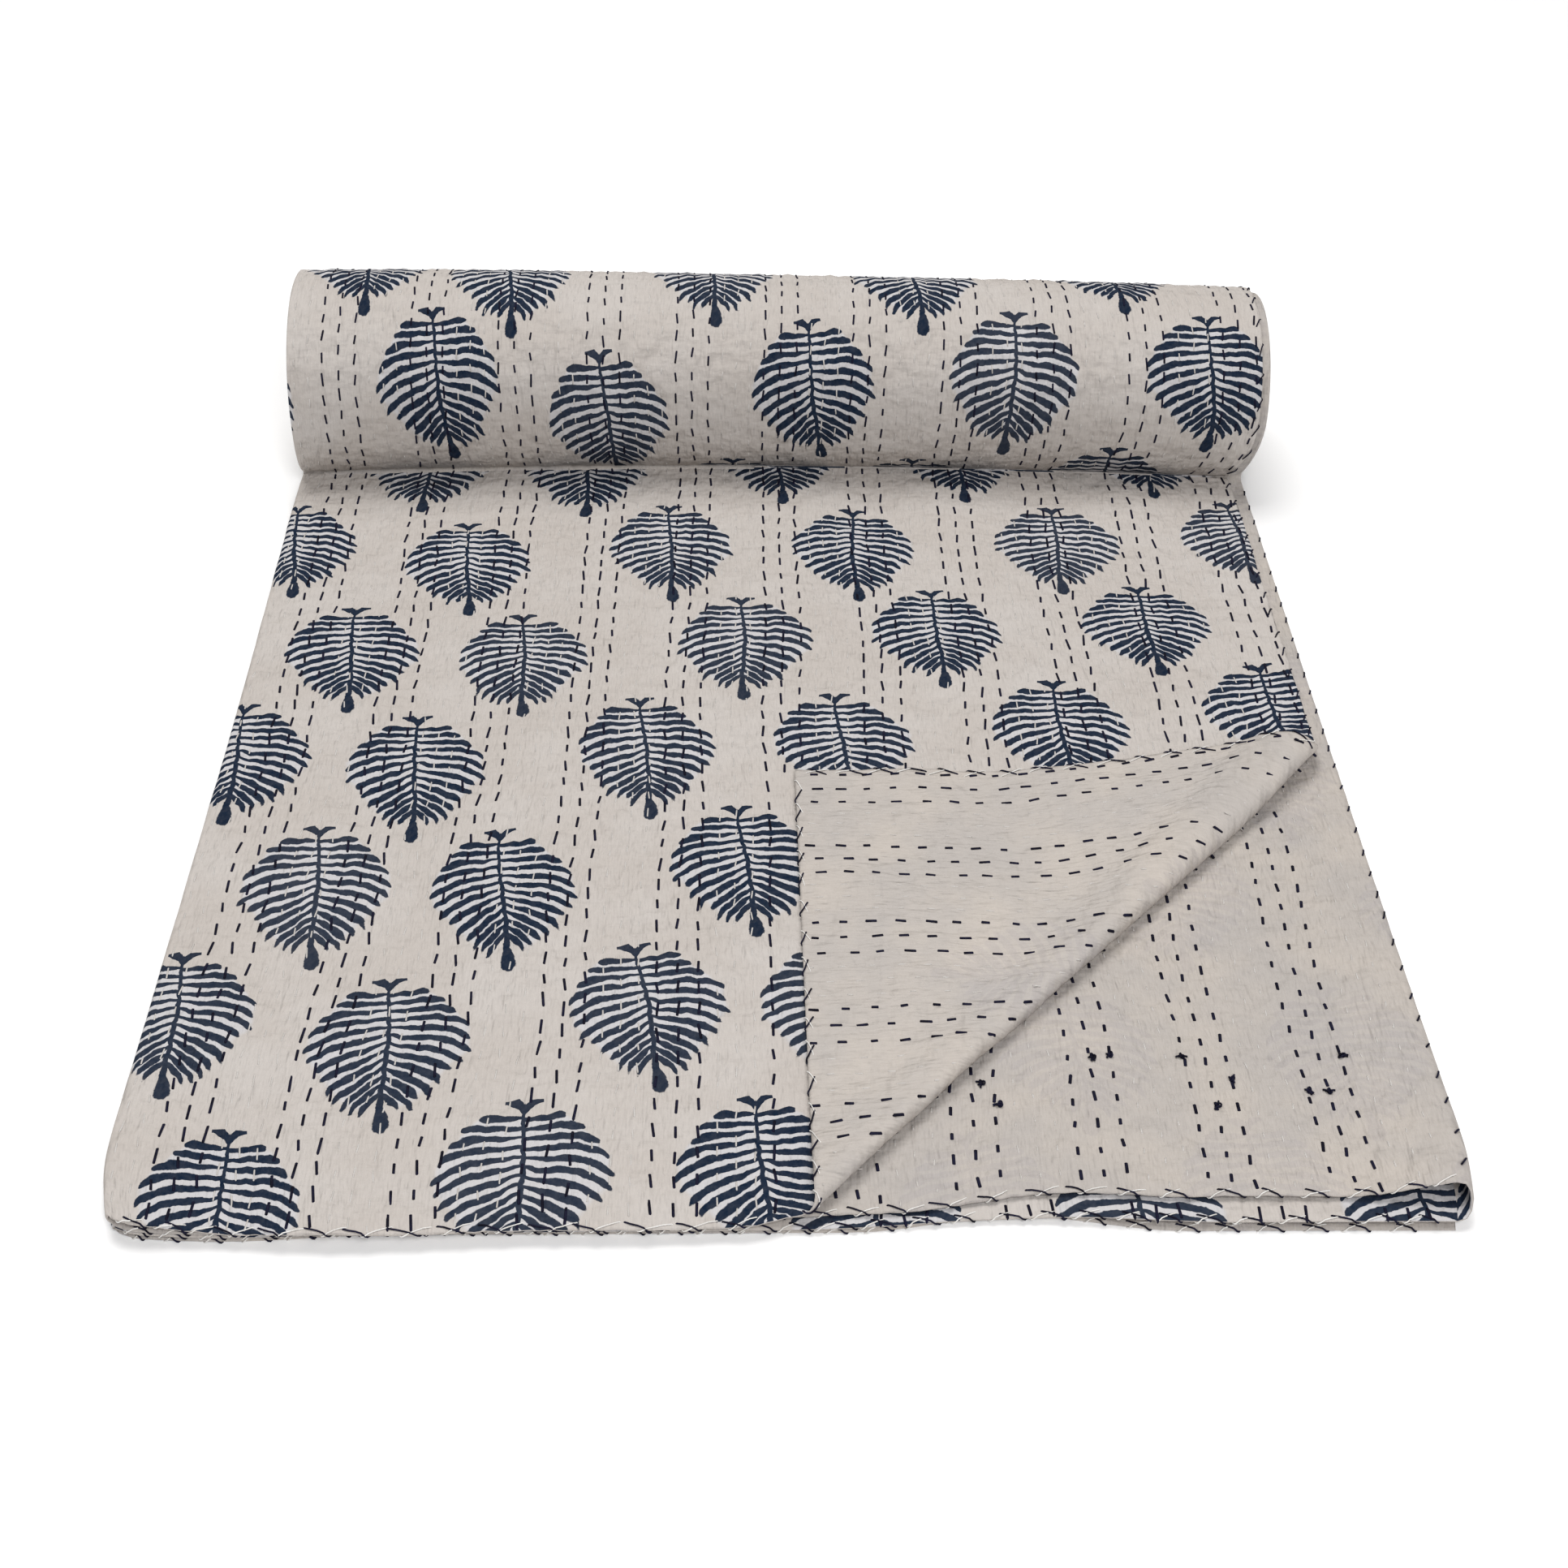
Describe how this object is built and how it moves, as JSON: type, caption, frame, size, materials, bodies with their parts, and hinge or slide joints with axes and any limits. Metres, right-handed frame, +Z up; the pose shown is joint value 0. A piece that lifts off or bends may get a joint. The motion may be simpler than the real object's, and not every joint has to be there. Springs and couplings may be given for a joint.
{
  "type": "kantha quilt",
  "caption": "Cotton kantha quilt, leaf-printed face and plain cream back in running stitch, folded in four, far part rolled up, front corner turned back.",
  "frame": {"origin": "middle of the underside of the whole folded bundle, on the surface that it rests on", "axes": "+X across the folded quilt towards its right-hand fold, +Y along it from the open hems to the roll, +Z up"},
  "size_m": [0.692, 0.8307, 0.1385],
  "materials": {
    "printed_cotton": "matte cream cotton with an indigo leaf print, hand quilted"
  },
  "bodies": {
    "root": {"quilt": "printed_cotton"}
  },
  "joints": []
}
